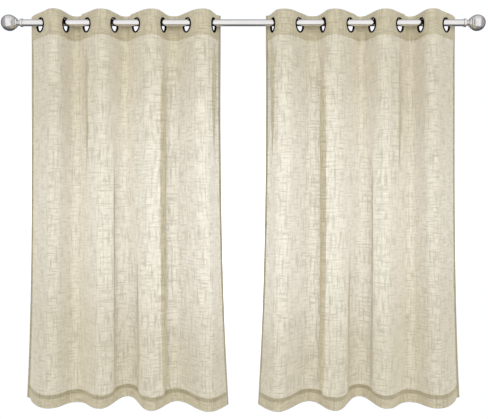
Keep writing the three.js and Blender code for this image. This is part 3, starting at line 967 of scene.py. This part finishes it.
def eyelet_tree():
    """A rolled metal ring at every point, turned by the point's own angle."""
    sizes = ("Inner radius", "Outer radius", "Crest", "Lean")
    tree, given, result = new_row("Eyelet row", sizes)
    inner, outer = given["Inner radius"], given["Outer radius"]
    middle = sums(tree, "MULTIPLY", sums(tree, "ADD", inner, outer), 0.5)
    half = sums(tree, "MULTIPLY", sums(tree, "SUBTRACT", outer, inner), 0.5)
    here = first(tree, "GeometryNodeInputPosition")
    spot = node(tree, "ShaderNodeSeparateXYZ", {0: here}).outputs
    leaning = sums(tree, "SUBTRACT", 1.0, sums(tree, "MULTIPLY", spot[0], given["Lean"]))
    crest = sums(tree, "MULTIPLY", spot[1], given["Crest"])
    shaped = first(tree, "ShaderNodeCombineXYZ", {
        0: sums(tree, "MULTIPLY", spot[0], half), 1: sums(tree, "MULTIPLY", crest, leaning),
    })
    circle = "GeometryNodeCurvePrimitiveCircle"
    section = first(tree, circle, {"Resolution": EYELET_SECTION, "Radius": 1.0})
    section = first(tree, "GeometryNodeSetPosition", {"Geometry": section, "Position": shaped})
    path = first(tree, circle, {"Resolution": EYELET_ROUND, "Radius": middle})
    ring = first(tree, "GeometryNodeCurveToMesh", {"Curve": path, "Profile Curve": section})
    upright = {"Geometry": ring, "Rotation": (math.pi / 2, 0, 0)}
    turn = first(tree, "GeometryNodeInputNamedAttribute", {"Name": "turn"}, data_type="FLOAT")
    row = first(tree, "GeometryNodeInstanceOnPoints", {
        "Points": given["Geometry"],
        "Instance": first(tree, "GeometryNodeTransform", upright),
        "Rotation": first(tree, "ShaderNodeCombineXYZ", {2: turn}),
    })
    return end_row(tree, given, result, row)


# Operators

class CURTAINS_OT_stage(bpy.types.Operator):
    """Set up the camera, the soft light and the pale floor"""

    bl_idname = "curtains.stage"
    bl_label = "Stage"

    def execute(self, context):
        stage = context.scene.curtain_stage
        lens = bpy.data.cameras.new("view")
        lens.lens = stage.lens
        camera = bpy.data.objects.new("view", lens)
        camera.location = (stage.eye_x, -stage.eye_back, -stage.eye_drop)
        camera.rotation_euler = (math.pi / 2, 0, 0)
        context.scene.collection.objects.link(camera)
        context.scene.camera = camera
        context.scene.view_settings.view_transform = "Standard"
        self.add_surround(context, stage)
        self.add_key(context, stage)
        self.add_floor(stage)
        return {"FINISHED"}

    def add_surround(self, context, stage):
        """A white surround: soft for cloth, darker below for metal, and a plain glowing backdrop."""
        world = bpy.data.worlds.new("surround")
        world.use_nodes = True
        tree = world.node_tree
        tree.nodes.clear()
        direction = node(tree, "ShaderNodeTexCoord").outputs["Generated"]
        across, back, up = node(tree, "ShaderNodeSeparateXYZ", {0: direction}).outputs
        path = node(tree, "ShaderNodeLightPath").outputs

        def eased(value, change, strength=1.0):
            """Eases between two shares of a strength."""
            shares = change.start * strength, change.end * strength
            return ranged(tree, value, change.low, change.high, *shares, "SMOOTHSTEP")

        def white(strength, tint=(1, 1, 1)):
            """White of that strength, or a tint of it."""
            return first(tree, "ShaderNodeBackground", {"Strength": strength, "Color": (*tint, 1)})

        def shown(ray, others, light):
            """A light for one kind of ray, and what the others meet."""
            return first(tree, "ShaderNodeMixShader", {0: path[ray], 1: others, 2: light})

        sideways, upwards = [sums(tree, "MULTIPLY", way, way) for way in (across, up)]
        mirrored = eased(sums(tree, "MULTIPLY_ADD", back, MIRRORED_SLANT, up), MIRRORED_BELOW)
        for way, change in (
            (back, MIRRORED_BACK), (up, MIRRORED_UP), (sideways, MIRRORED_ACROSS),
        ):
            mirrored = sums(tree, "MULTIPLY", mirrored, eased(way, change))
        aside = sums(tree, "MULTIPLY_ADD", upwards, GLOW_FLATNESS, sideways)
        glow = eased(aside, Change(0.0, GLOW_END, stage.glow, 1.0))
        light = shown("Is Glossy Ray", white(eased(up, SOFT_UP, stage.sky)), white(mirrored))
        light = shown("Is Camera Ray", light, white(glow, stage.backdrop))
        node(tree, "ShaderNodeOutputWorld", {"Surface": light})
        context.scene.world = world

    def add_key(self, context, stage):
        """One large soft light in front, a little below the rod."""
        light = bpy.data.lights.new("key", "AREA")
        light.shape = "DISK"
        light.size = stage.key_size
        light.energy = stage.key
        key = bpy.data.objects.new("key", light)
        key.location = (0, -stage.key_back, -stage.key_drop)
        key.rotation_euler = (stage.key_tilt, 0, 0)
        key.visible_glossy = False
        context.scene.collection.objects.link(key)

    def add_floor(self, stage):
        """A pale round floor that fades out at its rim."""
        angles = 2 * np.pi * np.arange(FLOOR_ROUND) / FLOOR_ROUND
        level = -stage.floor_drop
        points = [(0, 0, level)]
        for ring in range(1, FLOOR_RINGS + 1):
            radius = stage.floor_radius * ring / FLOOR_RINGS
            points += [(radius * math.cos(angle), radius * math.sin(angle), level) for angle in angles]
        pairs = [(1 + index, 1 + (index + 1) % FLOOR_ROUND) for index in range(FLOOR_ROUND)]
        faces = [(0, a, b) for a, b in pairs]
        for ring in range(FLOOR_RINGS - 1):
            near, far = ring * FLOOR_ROUND, (ring + 1) * FLOOR_ROUND
            faces += [(a + near, a + far, b + far, b + near) for a, b in pairs]
        floor = add_object("floor", points, faces)
        material, tree, shader = new_material("pale_floor")
        place = object_place(tree)
        grain = noise(tree, place, FLOOR_GRAIN, 4.0)
        flat = first(tree, "ShaderNodeVectorMath", {0: place, 1: (1, 1, 0)}, operation="MULTIPLY")
        away = node(tree, "ShaderNodeVectorMath", {0: flat}, operation="LENGTH").outputs["Value"]
        fades_from = FLOOR_FADE * stage.floor_radius
        feed(tree, shader, {
            "Base Color": shaded(tree, grain, stage.floor_tone, FLOOR_SHADE),
            "Alpha": ranged(tree, away, fades_from, stage.floor_radius, 1.0, 0.0, "SMOOTHSTEP"),
            "Roughness": 0.9,
        })
        floor.data.materials.append(material)
        floor.visible_glossy = False


class CURTAINS_OT_panels(bpy.types.Operator):
    """Hang the two sheer cloth panels with their hems, headings and eyelet holes"""

    bl_idname = "curtains.panels"
    bl_label = "Cloth panels"

    def execute(self, context):
        cloth = context.scene.curtain_cloth
        material = sheer_cloth(cloth)
        points, faces, places, hung_places = panel_mesh(HungCloth(cloth))
        extent = places.max(axis=0)
        for index, side in enumerate(SIDES):
            panel = add_object(f"{side}_curtain", *on_side(side, "left", points, faces))
            panel.data.materials.append(material)
            add_map(panel.data, "cloth", places + (0, index * extent[1]))
            add_map(panel.data, "hung", hung_places)
            add_map(panel.data, "OFBake", places / extent)
            belongs(panel, "sheer_cloth", f"{side}_panel", f"{side}_heading")
        return {"FINISHED"}


class CURTAINS_OT_stitches(bpy.types.Operator):
    """Sew the heading, the hem and the side hems of both panels"""

    bl_idname = "curtains.stitches"
    bl_label = "Stitches"

    def execute(self, context):
        cloth, sewing = context.scene.curtain_cloth, context.scene.curtain_sewing
        tree, material = stitch_tree(), sewing_thread(sewing)
        points, edges = self.seams(HungCloth(cloth), cloth, sewing)
        for side in SIDES:
            placed, faces = on_side(side, "left", points, ())
            stitches = add_object(f"{side}_stitches", placed, faces, edges)
            grow(stitches, tree, {
                "Pitch": sewing.pitch, "Stitch": sewing.stitch, "Thread": sewing.thread,
                "Seed": context.scene.curtain_stage.seed, "Material": material,
            })
            belongs(stitches, "sheer_cloth")
        return {"FINISHED"}

    def seams(self, hung, cloth, sewing):
        """Lines of sewing on the front and on the back of the left panel."""
        sunk = sewing.thread / 4
        hem_top = cloth.drop - cloth.hem
        across = np.arange(SEAM_END, cloth.width - SEAM_END, SEAM_STEP)
        down = np.arange(cloth.heading + SEAM_STEP, hem_top, 2 * SEAM_STEP)
        lines = []
        for v in (cloth.heading - sewing.inset, hem_top + sewing.inset):
            for behind in (-sunk, OUTER_LAYER * cloth.layer + sunk):
                lines.append((across, np.full_like(across, v), behind))
        side_u = cloth.side_hem - sewing.inset
        for u in (side_u, cloth.width - side_u):
            for behind in (-sunk, SIDE_LAYER * cloth.layer + sunk):
                lines.append((np.full_like(down, u), down, behind))
        points, edges = [], []
        for u, v, behind in lines:
            start = sum(len(part) for part in points)
            points.append(hung.surface(u, v, behind))
            edges += [(start + index, start + index + 1) for index in range(len(u) - 1)]
        return np.vstack(points), edges


class CURTAINS_OT_eyelets(bpy.types.Operator):
    """Press the black metal eyelets into both headings"""

    bl_idname = "curtains.eyelets"
    bl_label = "Eyelets"

    def execute(self, context):
        eyelet = context.scene.curtain_eyelet
        tree, material = eyelet_tree(), metal(LACQUER, eyelet.colour)
        turns = HungCloth(context.scene.curtain_cloth).turns
        for side in SIDES:
            nodes = [f"{side}_eyelet_{index + 1}" for index in range(EYELET_COUNT)]
            row = add_object(f"{side}_eyelets", [middle_of(name) for name in nodes], ())
            attribute = row.data.attributes.new("turn", "FLOAT", "POINT")
            attribute.data.foreach_set("value", turns if side == "left" else -turns)
            grow(row, tree, {
                "Inner radius": eyelet.inner, "Outer radius": eyelet.outer, "Crest": eyelet.crest,
                "Lean": eyelet.lean, "Material": material,
            })
            belongs(row, "eyelet_metal", *nodes)
        return {"FINISHED"}


class CURTAINS_OT_rod(bpy.types.Operator):
    """Turn the plain round rod"""

    bl_idname = "curtains.rod"
    bl_label = "Rod"

    def execute(self, context):
        rod = context.scene.curtain_rod
        end, soft = rod.length / 2, rod.softening
        profile = [(-end, 0), *arc(-end + soft, rod.radius - soft, soft, 180, 90, 4)]
        profile += [*arc(end - soft, rod.radius - soft, soft, 90, 0, 4), (end, 0)]
        made = add_object("satin_rod", *turned(profile, ROD_ROUND))
        made.data.materials.append(metal(SATIN, rod.metal))
        belongs(made, "rod_metal", "rod")
        return {"FINISHED"}


class CURTAINS_OT_finials(bpy.types.Operator):
    """Turn the two ball finials with their ring, stem, bead and cup"""

    bl_idname = "curtains.finials"
    bl_label = "Finials"

    def execute(self, context):
        rod = context.scene.curtain_rod
        material = metal(TURNED, rod.metal)
        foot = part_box("right_finial")[0].x
        profile = [(foot + x, radius) for x, radius in self.profile(rod)]
        shape = turned(profile, FINIAL_ROUND)
        for side in SIDES:
            finial = add_object(f"{side}_turned_finial", *on_side(side, "right", *shape))
            finial.data.materials.append(material)
            belongs(finial, "rod_metal", f"{side}_finial")
        return {"FINISHED"}

    def profile(self, rod):
        """(distance out from the rod's end, radius) rows of one finial."""
        soft = rod.softening
        rows = [(0, 0), *arc(soft, rod.ring - soft, soft, 180, 90, 4)]
        rows += arc(rod.ring_end - soft, rod.ring - soft, soft, 90, 0, 4)
        rows += [(rod.ring_end, rod.neck + soft), (rod.ring_end + soft, rod.neck)]
        for t in np.linspace(-1, 1, 9):
            swell = math.sqrt(max(1 - t * t, 0))
            rows.append((rod.bead_out + t * rod.bead_half, mix(rod.neck, rod.bead, swell)))
        rows.append((rod.collar_start - soft, rod.neck))
        rows += arc(rod.collar_start + soft, rod.collar - soft, soft, 180, 90, 4)
        rows.append((rod.cup_start - soft, rod.collar))
        wide = 2 * soft
        rows += arc(rod.cup_start + wide, rod.cup - wide, wide, 180, 90, 6)
        rows += arc(rod.cup_end - wide, rod.cup - wide / 2, wide / 2, 90, 0, 4)
        meets = math.asin((rod.cup - wide) / rod.ball)
        for angle in np.linspace(math.pi - meets, 0, 40)[:-1]:
            rows.append((rod.ball_out + rod.ball * math.cos(angle), rod.ball * math.sin(angle)))
        return [*rows, (rod.ball_out + rod.ball, 0)]


class CURTAINS_OT_declare(bpy.types.Operator):
    """An empty step that changes nothing"""

    bl_idname = "curtains.declare"
    bl_label = "Declare the sheets"

    def execute(self, context):
        return {"FINISHED"}


class CURTAINS_PT_sidebar(bpy.types.Panel):
    """Lists the settings and the steps"""

    bl_idname = "CURTAINS_PT_sidebar"
    bl_label = "Sheer curtains"
    bl_space_type = "VIEW_3D"
    bl_region_type = "UI"
    bl_category = "Curtains"

    def draw(self, context):
        for pointer in SETTINGS:
            box = self.layout.box()
            settings = getattr(context.scene, pointer)
            for name in settings.__annotations__:
                box.prop(settings, name)
        for step in STEPS:
            self.layout.operator(step.bl_idname)


SETTINGS = {
    "curtain_stage": StageSettings,
    "curtain_cloth": ClothSettings,
    "curtain_sewing": SewingSettings,
    "curtain_eyelet": EyeletSettings,
    "curtain_rod": RodSettings,
}
STEPS = (
    CURTAINS_OT_stage,
    CURTAINS_OT_panels,
    CURTAINS_OT_stitches,
    CURTAINS_OT_eyelets,
    CURTAINS_OT_rod,
    CURTAINS_OT_finials,
    CURTAINS_OT_declare,
)
CLASSES = (*SETTINGS.values(), *STEPS, CURTAINS_PT_sidebar)


def register():
    for kind in CLASSES:
        bpy.utils.register_class(kind)
    for pointer, kind in SETTINGS.items():
        setattr(bpy.types.Scene, pointer, PointerProperty(type=kind))


def unregister():
    for pointer in SETTINGS:
        delattr(bpy.types.Scene, pointer)
    for kind in reversed(CLASSES):
        bpy.utils.unregister_class(kind)


def main():
    register()
    for step in STEPS:
        group, name = step.bl_idname.split(".")
        getattr(getattr(bpy.ops, group), name)()


if __name__ == "__main__":
    main()
